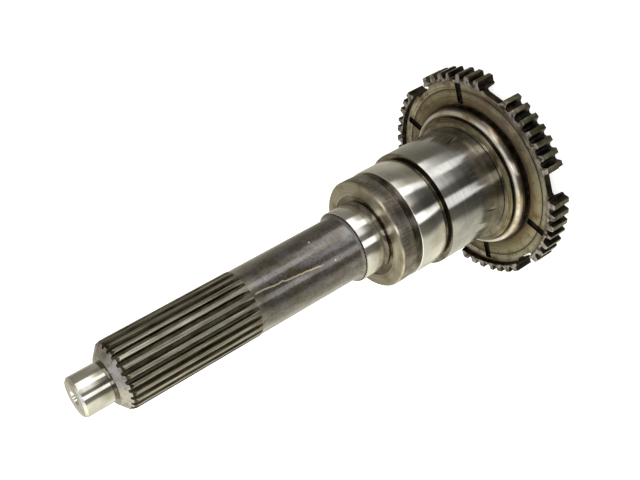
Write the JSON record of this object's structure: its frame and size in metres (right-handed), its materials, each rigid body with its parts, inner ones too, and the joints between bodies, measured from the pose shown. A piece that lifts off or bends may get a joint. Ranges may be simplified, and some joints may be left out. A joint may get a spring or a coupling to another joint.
{
  "type": "transmission input shaft",
  "caption": "Stepped steel input shaft with a splined drive end, a pilot journal, ground bearing journals and a toothed flange with gaps between tooth groups",
  "frame": {"origin": "middle of the rear face of the toothed rim, the plane the shaft stands on", "axes": "+Z along the shaft's axis from the flange to the pilot journal; +X midway between two slots, through the tooth group that has none; +Y completes a right-handed frame"},
  "size_m": [0.1744, 0.1736, 0.3762],
  "materials": {
    "steel": "ground and polished journals, dull turned and milled steel elsewhere"
  },
  "bodies": {
    "root": {"input_shaft": "steel"}
  },
  "joints": []
}
